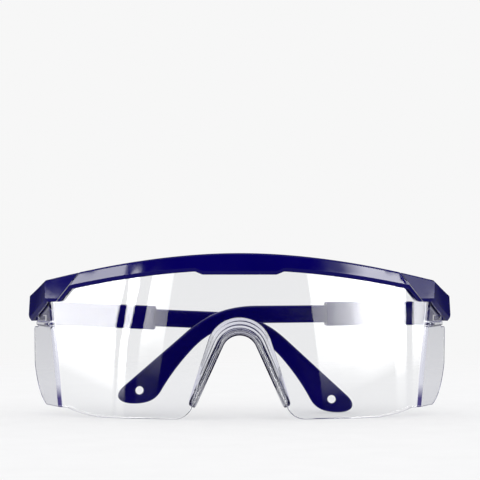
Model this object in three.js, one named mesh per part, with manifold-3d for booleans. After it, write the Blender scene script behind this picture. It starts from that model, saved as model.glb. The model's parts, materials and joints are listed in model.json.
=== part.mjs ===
// Safety glasses with a one-piece wrap-round lens, a brow bar and telescopic folding temples.
// Millimetres, +Z up. The wearer looks along -Y, so the wearer's left is +X.
// Rest position: folded, standing on the lens's lower edge and on one temple's tip.

import * as THREE from "three";
import { mergeVertices } from "three/addons/utils/BufferGeometryUtils.js";
import Module from "manifold-3d";

const wasm = await Module();
wasm.setup();

// Driving dimensions

const GAP = 0.3;                     // clearance between parts that touch

const LENS_RADIUS = 140;             // plan radius of the lens's front
const LENS_THICKNESS = 2.1;
const CORNER_X = 69.1;               // half width where the front turns into the wing
const CORNER_LEVEL = 45;             // height at which the half width is measured
const CORNER_LEAN = 0.095;           // the corner leans in towards the bottom, mm per mm
const CORNER_FILLET = 3;
const WING_SLOPE = 0.29;             // flare of the wings, mm outward per mm back
const WING_END = 45.6;               // depth of the wing's rear edge
const WING_LEAN = 0.12;              // share of the corner's lean that is left at the wing's end
const SWEEP = { run: 13, top: 18, bendRun: 4, bendTop: 6.5 };  // swept lower rear corner of the wing
const WING_NOTCH = { depth: 39.7, level: 31.6 };    // step in the wing's rear edge under the hinge
const CORNER_RISE = 3.2;             // height of the lens's lower edge at the corner
const FLAT_HALF = 44;                // half width of the lower edge that stands on the surface
const RISE_HALF = 66;                // half width at which the lower edge has risen
const RIB = { start: 21, end: 38.6, low: 32, high: 34, proud: 0.9 };

const BROW_TOP = 58.6;               // height of the brow bar at the middle
const BROW_PROUD = 1.5;              // brow surface in front of the lens
const BROW_WALL = 1.3;               // wall behind the lens
const BROW_ROOF = 1.6;               // material over the lens's top edge
const TAB_HALF = 12.6;               // half width of the deeper middle of the bar
const TAB_SHOULDER = 15.8;
const TAB_BOTTOM = 51;
const BAR_HEIGHT_INNER = 5.9;        // height of the bar beside the middle tab
const BAR_HEIGHT_OUTER = 5.15;       // height of the bar near the parting line
const BAR_END = 60.3;
const BLOCK_START = 64.6;
const BLOCK_FRONT_LOW = 41.2;        // underside of the end block at the front
const BLOCK_REAR_TOP = 43.4;
const BLOCK_REAR_LOW = 33.4;
const BLOCK_HEEL = 1.8;              // upturned rear end of the block's underside
const SEAM = { x: 57.35, z: 51.6, slope: 0.813 };  // diagonal parting line seen from the front

const PIN_X = 73.3;
const PIN_Y = 43.2;
const PIN = { radius: 0.85, headRadius: 1.5, low: -2.7, headSeat: 5.7, top: 6.6 };
const PIN_HOLE_RADIUS = 1.15;
const LUG = { radius: 2.6, low: -2.8, high: 6.4 };
const KNUCKLE_RADIUS = 2.4;
const KNUCKLE = { low: -0.5, high: 3.1 };          // heights about the temple's middle
const TEMPLE_LEVEL = 36.6;                         // height of the temple's middle at the pin
const BLOCK_END = PIN_Y + LUG.radius;

const SLEEVE = { start: 3, end: 42, inner: -0.5, outer: 4.5, half: 4.4, round: 0.7 };
const CAVITY = { start: 9.5, inner: 0.2, outer: 3.8, half: 3.65 };
const ARM = { start: 14, inner: 0.65, outer: 3.35, half: 3.2 };
const CORD_HOLE = { u: 109, v: -27.2, radius: 1.5 };

const NOSE_ARCH = 6.3;               // radius of the nose opening's arch
const NOSE_TOP = 29.6;               // top of the nose opening
const NOSE_ANGLE = THREE.MathUtils.degToRad(24.4);  // spread of its sides
const PAD_END = 4.6;                 // height of the pad's lower ends
const PAD_DEPTH = 12;

const SCREW_Y = 30;
const SCREW_Z = 41.2;
const SCREW = { radius: 0.9, headRadius: 1.7, headHeight: 0.9, tip: 0.9, slot: 0.3 };
const SCREW_HOLE_RADIUS = 1.2;

const SIDES = [
  { name: "left", sign: 1, fold: 100.5, droop: 0.25, armOut: 2 },
  { name: "right", sign: -1, fold: 94, droop: 2.4, armOut: -0.65 },
];

const MIDDLE_DEPTH = 22.99;          // middle of the folded glasses, front to back

// Solids and geometries

function toSolid(geometry) {
  const plain = geometry.clone();
  plain.deleteAttribute("normal");
  plain.deleteAttribute("uv");
  const merged = mergeVertices(plain, 1e-5);
  const mesh = new wasm.Mesh({
    numProp: 3,
    vertProperties: Float32Array.from(merged.attributes.position.array),
    triVerts: Uint32Array.from(merged.index.array),
  });
  return new wasm.Manifold(mesh);
}

function toGeometry(solid) {
  const mesh = solid.getMesh();
  const geometry = new THREE.BufferGeometry();
  geometry.setAttribute("position", new THREE.BufferAttribute(mesh.vertProperties, 3));
  geometry.setIndex(new THREE.BufferAttribute(mesh.triVerts, 1));
  geometry.computeVertexNormals();
  return geometry;
}

function signedVolume(points, faces) {
  let volume = 0;
  for (const [a, b, c] of faces) {
    volume += points[a].dot(new THREE.Vector3().crossVectors(points[b], points[c])) / 6;
  }
  return volume;
}

// Skin over a row of rings that have the same number of points, closed at both ends.
// The section is one ring's outline in its own plane.
function loft(rings, section) {
  const count = section.length;
  const clockwise = THREE.ShapeUtils.isClockWise(section);
  const points = rings.flat();
  const faces = [];
  for (let i = 0; i + 1 < rings.length; i += 1) {
    for (let j = 0; j < count; j += 1) {
      const a = i * count + j;
      const b = i * count + ((j + 1) % count);
      const c = a + count;
      const d = b + count;
      if (clockwise) {
        faces.push([a, d, b], [a, c, d]);
      } else {
        faces.push([a, b, d], [a, d, c]);
      }
    }
  }
  const last = (rings.length - 1) * count;
  for (const [a, b, c] of THREE.ShapeUtils.triangulateShape(section, [])) {
    faces.push([c, b, a], [a + last, b + last, c + last]);
  }
  const inward = signedVolume(points, faces) < 0;
  const outward = inward ? faces.map(([a, b, c]) => [c, b, a]) : faces;
  const coordinates = points.flatMap((point) => [point.x, point.y, point.z]);
  const geometry = new THREE.BufferGeometry();
  geometry.setAttribute("position", new THREE.Float32BufferAttribute(coordinates, 3));
  geometry.setIndex(outward.flat());
  return geometry;
}

function mirrored(geometry) {
  const copy = geometry.clone().scale(-1, 1, 1);
  const index = Array.from(copy.index.array);
  for (let i = 0; i < index.length; i += 3) {
    [index[i], index[i + 2]] = [index[i + 2], index[i]];
  }
  copy.setIndex(index);
  return copy;
}

// Prism with its outline in x and z, from one depth to another.
function frontPrism(shape, near, far, segments = 8) {
  const geometry = new THREE.ExtrudeGeometry(shape, {
    depth: far - near,
    bevelEnabled: false,
    curveSegments: segments,
  });
  geometry.rotateX(Math.PI / 2);
  geometry.translate(0, far, 0);
  return toSolid(geometry);
}

function polygon(points) {
  return new THREE.Shape(points.map(([x, y]) => new THREE.Vector2(x, y)));
}

function uprightCylinder(radius, low, high, segments = 24) {
  const geometry = new THREE.CylinderGeometry(radius, radius, high - low, segments);
  geometry.rotateX(Math.PI / 2);
  geometry.translate(0, 0, (low + high) / 2);
  return geometry;
}

function block(x, y, z) {
  const geometry = new THREE.BoxGeometry(x[1] - x[0], y[1] - y[0], z[1] - z[0]);
  geometry.translate((x[0] + x[1]) / 2, (y[0] + y[1]) / 2, (z[0] + z[1]) / 2);
  return geometry;
}

// The lens's outer surface: stations along its plan line, from the middle to a wing's end

const cornerAngle = Math.asin(CORNER_X / LENS_RADIUS);
const cornerDepth = LENS_RADIUS * (1 - Math.cos(cornerAngle));
const wingAngle = Math.atan2(1, WING_SLOPE);
const halfTurn = (wingAngle - cornerAngle) / 2;
const outwardAt = (angle) => new THREE.Vector2(Math.sin(angle), -Math.cos(angle));

function frontStation(x) {
  const angle = Math.asin(x / LENS_RADIUS);
  const y = LENS_RADIUS * (1 - Math.cos(angle));
  return { x, y, out: outwardAt(angle), lean: x / CORNER_X };
}

function wingStation(y) {
  const along = (y - cornerDepth) / (WING_END - cornerDepth);
  return {
    x: CORNER_X + WING_SLOPE * (y - cornerDepth),
    y,
    out: outwardAt(wingAngle),
    lean: THREE.MathUtils.lerp(1, WING_LEAN, along),
  };
}

function mitreStation() {
  const out = outwardAt((cornerAngle + wingAngle) / 2).divideScalar(Math.cos(halfTurn));
  return { x: CORNER_X, y: cornerDepth, out, lean: 1 };
}

function filletStations(steps) {
  const out = outwardAt((cornerAngle + wingAngle) / 2);
  const reach = CORNER_FILLET / Math.cos(halfTurn);
  const centre = new THREE.Vector2(CORNER_X, cornerDepth).addScaledVector(out, -reach);
  return Array.from({ length: steps + 1 }, (_, i) => {
    const normal = outwardAt(cornerAngle + (2 * halfTurn * i) / steps);
    const place = centre.clone().addScaledVector(normal, CORNER_FILLET);
    return { x: place.x, y: place.y, out: normal, lean: 1 };
  });
}

function mirrorStations(half) {
  const flipped = half.filter((s) => s.x > 0).map((s) => ({
    x: -s.x,
    y: s.y,
    out: new THREE.Vector2(-s.out.x, s.out.y),
    lean: -s.lean,
  }));
  return [...flipped.reverse(), ...half];
}

// Point at a height, pushed out from the lens's outer surface.
function wallPoint(station, push, z) {
  const leanIn = station.lean * CORNER_LEAN * (CORNER_LEVEL - z);
  return new THREE.Vector3(
    station.x + station.out.x * push - leanIn,
    station.y + station.out.y * push,
    z,
  );
}

// Depth of the lens's front surface at a place seen from the front.
function lensDepth(x, z) {
  const narrowing = 1 - (CORNER_LEAN * (CORNER_LEVEL - z)) / CORNER_X;
  return frontStation(Math.abs(x) / narrowing).y;
}

function wallSolid(stations, sectionAt) {
  const rings = stations.map((s) => sectionAt(s).map(([push, z]) => wallPoint(s, push, z)));
  const outline = sectionAt(stations[0]).map(([push, z]) => new THREE.Vector2(push, z));
  return toSolid(loft(rings, outline));
}

// Heights of the brow bar and the end blocks

const mix = THREE.MathUtils.lerp;
const alongWing = (y) => (y - cornerDepth) / (BLOCK_END - cornerDepth);
const arch = (x) => BROW_TOP - 0.0026 * x * x + 8.3e-6 * Math.abs(x) ** 3;

function browTop(station) {
  if (station.y > cornerDepth) {
    return mix(arch(CORNER_X), BLOCK_REAR_TOP, alongWing(station.y));
  }
  return arch(station.x);
}

function barBottom(x) {
  if (x <= TAB_HALF) {
    return TAB_BOTTOM;
  }
  const span = (x - TAB_SHOULDER) / (BAR_END - TAB_SHOULDER);
  return arch(x) - mix(BAR_HEIGHT_INNER, BAR_HEIGHT_OUTER, span);
}

function browBottom(station) {
  const x = Math.abs(station.x);
  if (station.y > cornerDepth) {
    const heel = Math.max(0, station.y - (BLOCK_END - BLOCK_HEEL));
    const slide = alongWing(Math.min(station.y, BLOCK_END - BLOCK_HEEL));
    return mix(BLOCK_FRONT_LOW - GAP, BLOCK_REAR_LOW, slide) + 0.8 * heel;
  }
  if (x > BLOCK_START) {
    return BLOCK_FRONT_LOW;
  }
  if (x > BAR_END) {
    return mix(barBottom(BAR_END), BLOCK_FRONT_LOW, (x - BAR_END) / (BLOCK_START - BAR_END));
  }
  return barBottom(x);
}

// Brow bar and end blocks as one rim, grooved from below for the lens's top edge

const rimFront = [
  0, 4, 8, TAB_HALF, TAB_SHOULDER, 20, 26, 32, 38, 44, 50, 55.5, BAR_END, BLOCK_START, 67,
];
const rimWing = [22, 26, 31, 36, 40, BLOCK_END - BLOCK_HEEL, BLOCK_END + 1.5];

function rimSection(station) {
  const top = browTop(station);
  const bottom = browBottom(station);
  const back = -LENS_THICKNESS - GAP - BROW_WALL;
  return [
    [BROW_PROUD - 0.7, bottom],
    [BROW_PROUD, bottom + 0.8],
    [BROW_PROUD, top - 0.5],
    [BROW_PROUD - 0.6, top],
    [back + 0.6, top],
    [back, top - 0.6],
    [back, bottom + 0.5],
    [back + 0.4, bottom],
    [-LENS_THICKNESS - GAP, bottom],
    [-LENS_THICKNESS - GAP, top - BROW_ROOF],
    [GAP, top - BROW_ROOF],
    [GAP, bottom],
  ];
}

function rim() {
  const half = [
    ...rimFront.map(frontStation),
    mitreStation(),
    ...rimWing.map(wingStation),
  ];
  return wallSolid(mirrorStations(half), rimSection);
}

const seamX = (z) => SEAM.x + SEAM.slope * (SEAM.z - z);

function barRegion() {
  const high = 70;
  const low = BLOCK_FRONT_LOW;
  const right = [[seamX(high), high], [seamX(low), low], [seamX(low) - 0.5, low - 3]];
  const left = right.map(([x, z]) => [-x, z]).reverse();
  return frontPrism(polygon([...left, ...right]), -10, 60);
}

function blockRegion() {
  const high = 70;
  const low = BLOCK_FRONT_LOW;
  const outline = [
    [seamX(high) + GAP, high],
    [seamX(low) + GAP, low],
    [seamX(low) + GAP, low - 25],
    [95, low - 25],
    [95, high],
  ];
  return frontPrism(polygon(outline), -10, 60);
}

// End block of the wearer's left side: rear end closed, hinge lugs added, knuckle slot cut

function hinged(geometry, droop) {
  const lean = -THREE.MathUtils.degToRad(droop);
  return toSolid(geometry.rotateY(lean).translate(PIN_X, PIN_Y, TEMPLE_LEVEL));
}

function screwHole(radius, from, to) {
  const station = wingStation(SCREW_Y);
  const geometry = new THREE.CylinderGeometry(radius, radius, to - from, 20);
  geometry.translate(0, (from + to) / 2, 0);
  return placeOnWing(geometry, station);
}

function placeOnWing(geometry, station) {
  const axis = new THREE.Vector3(station.out.x, station.out.y, 0);
  const turn = new THREE.Quaternion().setFromUnitVectors(new THREE.Vector3(0, 1, 0), axis);
  geometry.applyQuaternion(turn);
  const seat = wallPoint(station, 0, SCREW_Z);
  geometry.translate(seat.x, seat.y, seat.z);
  return geometry;
}

function endBlock(droop) {
  const closing = [WING_NOTCH.depth + 0.4, 42, BLOCK_END - BLOCK_HEEL, BLOCK_END + 1.5];
  const closed = wallSolid(closing.map(wingStation), (station) => {
    const inner = -LENS_THICKNESS - GAP - 0.4;
    const outer = GAP + 0.4;
    const low = browBottom(station);
    const high = browTop(station) - 1;
    return [[outer, low], [outer, high], [inner, high], [inner, low]];
  });
  const lug = hinged(uprightCylinder(LUG.radius, LUG.low, LUG.high, 28), droop);
  const slotRadius = BLOCK_END - PIN_Y + 0.8;
  const slot = uprightCylinder(slotRadius, KNUCKLE.low - GAP, KNUCKLE.high + GAP, 32);
  const hole = uprightCylinder(PIN_HOLE_RADIUS, -8, 9);
  const behind = block([40, 95], [BLOCK_END, 70], [20, 70]);
  const counterbore = uprightCylinder(PIN.headRadius + 0.4, PIN.headSeat - GAP, 10);
  return rim()
    .intersect(blockRegion())
    .add(closed)
    .subtract(toSolid(behind))
    .add(lug)
    .subtract(hinged(slot, droop))
    .subtract(hinged(hole, droop))
    .subtract(hinged(counterbore, droop))
    .subtract(toSolid(screwHole(SCREW_HOLE_RADIUS, -8, 1.2)));
}

// Lens: front and wings in one wall, with the nose cut-out, two screw holes and two ribs

// Height of the wing's lower edge at a distance ahead of its rear end, on a quadratic curve.
function sweptCorner(ahead) {
  const square = SWEEP.run - 2 * SWEEP.bendRun;
  const root = Math.sqrt(SWEEP.bendRun ** 2 + square * ahead);
  const t = (root - SWEEP.bendRun) / square;
  return (1 - t) ** 2 * SWEEP.top + 2 * t * (1 - t) * SWEEP.bendTop + t * t * CORNER_RISE;
}

function lensBottom(station) {
  if (station.y > cornerDepth + 0.5) {
    return sweptCorner(Math.min(SWEEP.run, WING_END - station.y));
  }
  const x = Math.abs(station.x);
  const rise = THREE.MathUtils.clamp((x - FLAT_HALF) / (RISE_HALF - FLAT_HALF), 0, 1);
  return CORNER_RISE * rise ** 3;
}

function lensStations() {
  const tangent = CORNER_X - CORNER_FILLET * Math.tan(halfTurn) * Math.cos(cornerAngle);
  const count = 22;
  const front = Array.from({ length: count }, (_, i) => frontStation((tangent * i) / count));
  const swept = [SWEEP.run, 10.5, 8, 6, 4, 2.5, 1.2, 0].map((ahead) => wingStation(WING_END - ahead));
  const wing = [22, 27].map(wingStation);
  return mirrorStations([...front, ...filletStations(4), ...wing, ...swept]);
}

// Half outline of the nose opening, pushed out into the lens, from the foot to the arch's top.
function noseSide(push) {
  const radius = NOSE_ARCH + push;
  const centre = NOSE_TOP - NOSE_ARCH;
  const tangent = new THREE.Vector2(
    radius * Math.cos(NOSE_ANGLE),
    centre + radius * Math.sin(NOSE_ANGLE),
  );
  const down = new THREE.Vector2(Math.sin(NOSE_ANGLE), -Math.cos(NOSE_ANGLE));
  const at = (z) => tangent.clone().addScaledVector(down, (tangent.y - z) / Math.cos(NOSE_ANGLE));
  return { radius, centre, tangent, at };
}

function noseCut() {
  const side = noseSide(1.2);
  const foot = side.at(4.4);
  const corner = side.at(0);
  const wide = corner.x + 4.6;
  const shape = new THREE.Shape();
  shape.moveTo(wide, -3);
  shape.lineTo(wide, 0);
  shape.quadraticCurveTo(corner.x, 0, foot.x, foot.y);
  shape.lineTo(side.tangent.x, side.tangent.y);
  shape.absarc(0, side.centre, side.radius, NOSE_ANGLE, Math.PI - NOSE_ANGLE, false);
  shape.lineTo(-foot.x, foot.y);
  shape.quadraticCurveTo(-corner.x, 0, -wide, 0);
  shape.lineTo(-wide, -3);
  return frontPrism(shape, -5, 30, 12);
}

function lens() {
  const wall = wallSolid(lensStations(), (station) => {
    const low = lensBottom(station);
    const high = browTop(station) - BROW_ROOF - GAP;
    return [[0, low], [0, high], [-LENS_THICKNESS, high], [-LENS_THICKNESS, low]];
  });
  const rib = wallSolid([RIB.start, RIB.end].map(wingStation), () => [
    [-0.5, RIB.low],
    [RIB.proud, RIB.low + 0.3],
    [RIB.proud, RIB.high - 0.3],
    [-0.5, RIB.high],
  ]);
  const hole = screwHole(SCREW_HOLE_RADIUS, -8, 6);
  const notch = block([50, 95], [WING_NOTCH.depth, 60], [WING_NOTCH.level, 60]);
  return wall
    .subtract(noseCut())
    .add(rib)
    .add(toSolid(mirrored(toGeometry(rib))))
    .subtract(toSolid(hole))
    .subtract(toSolid(mirrored(hole)))
    .subtract(toSolid(notch))
    .subtract(toSolid(mirrored(notch)));
}

// Nose pad: a lip with a groove for the lens's edge, and a flange spreading back to the nose

function nosePath() {
  const side = noseSide(0);
  const heights = [PAD_END, 10, 16, 21, side.tangent.y];
  const sideOut = new THREE.Vector2(Math.cos(NOSE_ANGLE), Math.sin(NOSE_ANGLE));
  const sides = heights.map((z) => ({ place: side.at(z), out: sideOut.clone() }));
  const steps = 12;
  const sweep = Math.PI / 2 - NOSE_ANGLE;
  const top = Array.from({ length: steps }, (_, i) => {
    const angle = NOSE_ANGLE + (sweep * (i + 1)) / steps;
    const out = new THREE.Vector2(Math.cos(angle), Math.sin(angle));
    const place = out.clone().multiplyScalar(side.radius).add(new THREE.Vector2(0, side.centre));
    return { place, out };
  });
  const half = [...sides, ...top];
  const other = half.slice(0, -1).reverse().map(({ place, out }) => ({
    place: new THREE.Vector2(-place.x, place.y),
    out: new THREE.Vector2(-out.x, out.y),
  }));
  return [...half, ...other];
}

function nosePad() {
  const sectionAt = (place) => {
    const spread = mix(2.9, 6.2, (place.y - PAD_END) / (NOSE_TOP - PAD_END));
    return [
      [0, -1],
      [2, -1],
      [2, -GAP],
      [0.9, -GAP],
      [0.9, LENS_THICKNESS + GAP],
      [2.5, LENS_THICKNESS + GAP],
      [spread, PAD_DEPTH],
      [spread - 1.4, PAD_DEPTH + 0.6],
      [0, 3.6],
    ];
  };
  const path = nosePath();
  const rings = path.map(({ place, out }) => sectionAt(place).map(([push, depth]) => {
    const x = place.x + out.x * push;
    const z = place.y + out.y * push;
    return new THREE.Vector3(x, lensDepth(x, z) + depth, z);
  }));
  const outline = sectionAt(path[0].place).map(([push, depth]) => new THREE.Vector2(push, depth));
  return toSolid(loft(rings, outline));
}

// Temple parts, in their own frame: x outward, y along the open temple, z up, pin at the origin

function roundedBar(size, round) {
  const x = size.outer - round;
  const z = size.half - round;
  const shape = new THREE.Shape();
  shape.absarc(x, z, round, 0, Math.PI / 2, false);
  shape.absarc(size.inner + round, z, round, Math.PI / 2, Math.PI, false);
  shape.absarc(size.inner + round, -z, round, Math.PI, Math.PI * 1.5, false);
  shape.absarc(x, -z, round, Math.PI * 1.5, Math.PI * 2, false);
  return frontPrism(shape, size.start, size.end, 3);
}

function templeSleeve() {
  const knuckle = uprightCylinder(KNUCKLE_RADIUS, KNUCKLE.low, KNUCKLE.high, 28);
  const neck = block([-0.4, 1.5], [0, SLEEVE.start + 1], [KNUCKLE.low, KNUCKLE.high]);
  const hole = uprightCylinder(PIN_HOLE_RADIUS, -2, 6);
  const cavity = block(
    [CAVITY.inner, CAVITY.outer],
    [CAVITY.start, SLEEVE.end + 5],
    [-CAVITY.half, CAVITY.half],
  );
  return roundedBar(SLEEVE, SLEEVE.round)
    .add(toSolid(neck))
    .add(toSolid(knuckle))
    .subtract(toSolid(hole))
    .subtract(toSolid(cavity));
}

function templeArm() {
  const shape = new THREE.Shape();
  shape.moveTo(ARM.start, -ARM.half);
  shape.lineTo(66, -ARM.half);
  shape.bezierCurveTo(77, -ARM.half, 84, -6.6, 89.5, -12.3);
  shape.quadraticCurveTo(96.5, -19.6, 101.2, -27.6);
  shape.bezierCurveTo(103.2, -31, 106.5, -32, 110.6, -32);
  shape.bezierCurveTo(116.8, -32, 118.4, -29.2, 115, -25.9);
  shape.lineTo(91.5, -6);
  shape.bezierCurveTo(85, -0.5, 77.5, ARM.half, 66, ARM.half);
  shape.lineTo(ARM.start, ARM.half);
  shape.closePath();
  const hole = new THREE.Path();
  hole.absarc(CORD_HOLE.u, CORD_HOLE.v, CORD_HOLE.radius, 0, Math.PI * 2, true);
  shape.holes.push(hole);
  const edge = 0.35;
  const geometry = new THREE.ExtrudeGeometry(shape, {
    depth: ARM.outer - ARM.inner - 2 * edge,
    bevelThickness: edge,
    bevelSize: edge,
    bevelOffset: -edge,
    bevelSegments: 1,
    curveSegments: 7,
  });
  const turn = new THREE.Matrix4().makeBasis(
    new THREE.Vector3(0, 1, 0),
    new THREE.Vector3(0, 0, 1),
    new THREE.Vector3(1, 0, 0),
  );
  geometry.applyMatrix4(turn);
  geometry.translate(ARM.inner + edge, 0, 0);
  return toSolid(geometry);
}

function hingePin() {
  const bevel = 0.3;
  const profile = [
    [0, PIN.low],
    [PIN.radius - bevel, PIN.low],
    [PIN.radius, PIN.low + bevel],
    [PIN.radius, PIN.headSeat],
  ];
  const head = [
    [PIN.headRadius, PIN.headSeat],
    [PIN.headRadius, PIN.top - bevel],
    [PIN.headRadius - bevel, PIN.top],
    [0, PIN.top],
  ];
  const points = [...profile, ...head].map(([r, z]) => new THREE.Vector2(r, z));
  const pin = new THREE.LatheGeometry(points, 24).rotateX(Math.PI / 2);
  const slot = block([-0.25, 0.25], [-2, 2], [PIN.top - 0.4, PIN.top + 0.4]);
  return toSolid(pin).subtract(toSolid(slot));
}

function blockScrew() {
  const under = -LENS_THICKNESS - 2 * GAP - BROW_WALL;
  const face = under - SCREW.headHeight;
  const bevel = 0.4;
  const profile = [
    [0, face],
    [SCREW.headRadius - bevel, face],
    [SCREW.headRadius, face + bevel],
    [SCREW.headRadius, under],
  ];
  const shank = [
    [SCREW.radius, under],
    [SCREW.radius, SCREW.tip - bevel],
    [SCREW.radius - bevel, SCREW.tip],
    [0, SCREW.tip],
  ];
  const points = [...profile, ...shank].map(([r, y]) => new THREE.Vector2(r, y));
  const screw = new THREE.LatheGeometry(points, 24);
  const slot = block([-SCREW.slot, SCREW.slot], [face - 1, face + bevel], [-3, 3]);
  const solid = toSolid(screw).subtract(toSolid(slot));
  return placeOnWing(toGeometry(solid), wingStation(SCREW_Y));
}

// Materials

const blue = new THREE.MeshStandardMaterial({ color: 0x0b0752, roughness: 0.15, metalness: 0 });
const steel = new THREE.MeshStandardMaterial({ color: 0xb9bcc2, roughness: 0.3, metalness: 1 });
const clear = new THREE.MeshStandardMaterial({
  color: 0xf2f5f8,
  roughness: 0.04,
  metalness: 0,
  transparent: true,
  opacity: 0.3,
});
const softClear = new THREE.MeshStandardMaterial({
  color: 0xe9eef2,
  roughness: 0.2,
  metalness: 0,
  transparent: true,
  opacity: 0.45,
});

// Assembly

function named(name, geometry, material) {
  const mesh = new THREE.Mesh(geometry, material);
  mesh.name = name;
  return mesh;
}

const glasses = new THREE.Group();
glasses.position.set(0, -MIDDLE_DEPTH, 0);
glasses.add(named("lens", toGeometry(lens()), clear));
glasses.add(named("brow_frame", toGeometry(rim().intersect(barRegion())), blue));
glasses.add(named("nose_pad", toGeometry(nosePad()), softClear));

for (const side of SIDES) {
  const onSide = (geometry) => (side.sign > 0 ? geometry : mirrored(geometry));
  const part = (name, geometry, material) => named(`${side.name}_${name}`, onSide(geometry), material);

  glasses.add(part("end_block", toGeometry(endBlock(side.droop)), blue));
  glasses.add(part("block_screw", blockScrew(), steel));

  const hinge = new THREE.Group();
  hinge.position.set(side.sign * PIN_X, PIN_Y, TEMPLE_LEVEL);
  hinge.rotation.y = -side.sign * THREE.MathUtils.degToRad(side.droop);
  hinge.add(part("hinge_pin", toGeometry(hingePin()), steel));
  glasses.add(hinge);

  const temple = new THREE.Group();
  temple.rotation.z = side.sign * THREE.MathUtils.degToRad(side.fold);
  temple.add(part("temple_sleeve", toGeometry(templeSleeve()), blue));
  const arm = part("temple_arm", toGeometry(templeArm()), blue);
  arm.position.y = side.armOut;
  temple.add(arm);
  hinge.add(temple);
}

export default glasses;
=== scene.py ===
"""Safety glasses with a clear wrap-round lens, a navy brow bar and telescopic temples, shown folded.

Every shape is worked out in millimetres in the glasses' own frame: x towards the wearer's left,
y back from the front of the lens, z up from the surface that they stand on.
"""

import json
from math import asin, atan2, ceil, cos, pi, radians, sin, sqrt, tan

import bmesh
import bpy
import numpy as np
from mathutils import Matrix, Vector
from mathutils.geometry import delaunay_2d_cdt


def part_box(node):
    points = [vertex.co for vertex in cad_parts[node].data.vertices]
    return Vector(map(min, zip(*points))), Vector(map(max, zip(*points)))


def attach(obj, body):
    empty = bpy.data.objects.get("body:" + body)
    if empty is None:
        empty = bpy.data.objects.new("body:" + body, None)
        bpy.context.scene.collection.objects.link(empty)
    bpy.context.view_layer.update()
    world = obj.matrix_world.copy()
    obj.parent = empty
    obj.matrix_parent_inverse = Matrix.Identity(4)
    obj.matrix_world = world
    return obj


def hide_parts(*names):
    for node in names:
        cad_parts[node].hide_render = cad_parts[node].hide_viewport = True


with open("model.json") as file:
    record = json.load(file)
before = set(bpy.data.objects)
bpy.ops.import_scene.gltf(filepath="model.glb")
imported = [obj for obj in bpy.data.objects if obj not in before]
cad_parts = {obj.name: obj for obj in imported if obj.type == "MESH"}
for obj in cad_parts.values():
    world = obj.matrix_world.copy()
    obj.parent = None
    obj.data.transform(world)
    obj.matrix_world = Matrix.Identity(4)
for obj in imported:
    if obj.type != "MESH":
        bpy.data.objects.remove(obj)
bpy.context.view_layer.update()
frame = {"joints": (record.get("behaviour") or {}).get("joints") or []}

MM = 0.001
FRONT_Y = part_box("lens")[0].y / MM  # where the front of the lens stands in the row frame

# ---- driving dimensions, millimetres

GAP = 0.3
LENS_RADIUS = 140.0
LENS_THICKNESS = 2.1
CORNER_X = 69.1
CORNER_LEVEL = 45.0
CORNER_LEAN = 0.095
CORNER_FILLET = 3.0
WING_SLOPE = 0.29
WING_END = 45.6
WING_LEAN = 0.12
SWEEP_RUN, SWEEP_TOP = 13.0, 18.0
SWEEP_BEND = (4.0, 6.5)
NOTCH_DEPTH = 39.7
NOTCH_LEVEL = 31.6
CORNER_RISE = 3.2
FLAT_HALF = 44.0
RISE_HALF = 66.0

BROW_TOP = 58.6
BROW_PROUD = 1.5
BROW_WALL = 1.3
BROW_ROOF = 1.6
TAB_HALF = 12.6
TAB_SHOULDER = 15.8
TAB_BOTTOM = 51.0
BAR_END = 60.3
BLOCK_START = 64.6
BLOCK_FRONT_LOW = 41.2
BLOCK_REAR_TOP = 43.4
BLOCK_REAR_LOW = 33.4
BLOCK_HEEL = 0.7
SEAM_X, SEAM_Z, SEAM_SLOPE = 57.35, 51.6, 0.813

PIN = (73.3, 43.2, 36.6)
LUG_RADIUS = 2.6
BLOCK_END = PIN[1] + LUG_RADIUS
KNUCKLE_RADIUS = 2.4
KNUCKLE_LOW, KNUCKLE_HIGH = -0.5, 3.1
SCREW_Y, SCREW_Z = 30.0, 41.2
SCREW_HOLE = 1.2
PIN_HOLE = 1.15

NOSE_ARCH = 6.3
NOSE_TOP = 29.6
NOSE_ANGLE = radians(24.4)
PAD_END = 4.6
PAD_TIP = 4.0
PAD_DEPTH = 12.0

joints = {j["name"]: j for j in frame["joints"]}


# ---- meshes

def new_object(name, data):
    obj = bpy.data.objects.new(name, data)
    bpy.context.scene.collection.objects.link(obj)
    return obj


def signed_volume(points, faces):
    total = 0.0
    for face in faces:
        a = points[face[0]]
        for k in range(1, len(face) - 1):
            total += np.dot(a, np.cross(points[face[k]], points[face[k + 1]])) / 6
    return total


def make(name, points, faces, normals=None, sharp=radians(32)):
    """An object from points in millimetres in the glasses' own frame, with its faces turned outward."""
    points = np.asarray(points, float)
    if signed_volume(points, faces) < 0:
        faces = [tuple(reversed(f)) for f in faces]
    mesh = bpy.data.meshes.new(name)
    mesh.from_pydata([tuple(p) for p in (points + (0, FRONT_Y, 0)) * MM], [], faces)
    mesh.validate()
    close_slits(mesh)
    obj = new_object(name, mesh)
    shade(obj, sharp)
    if normals is not None:
        mesh.normals_split_custom_set_from_vertices([tuple(n) for n in normals])
    return obj


def close_slits(mesh):
    """Fills every open edge loop of a mesh and keeps its points."""
    b = bmesh.new()
    b.from_mesh(mesh)
    open_edges = [e for e in b.edges if e.is_boundary]
    if open_edges:
        bmesh.ops.holes_fill(b, edges=open_edges, sides=0)
        b.to_mesh(mesh)
    b.free()


def shade(obj, sharp=radians(32)):
    """Smooth shading, apart from edges sharper than the angle."""
    for polygon in obj.data.polygons:
        polygon.use_smooth = True
    obj.data.set_sharp_from_angle(angle=sharp)


def modify(obj, kind, **settings):
    """Applies a modifier to the object's own mesh."""
    modifier = obj.modifiers.new(kind, kind)
    for key, value in settings.items():
        setattr(modifier, key, value)
    bpy.context.view_layer.update()
    graph = bpy.context.evaluated_depsgraph_get()
    mesh = bpy.data.meshes.new_from_object(obj.evaluated_get(graph))
    obj.modifiers.clear()
    old = obj.data
    obj.data = mesh
    mesh.name = obj.name
    bpy.data.meshes.remove(old)


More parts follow.
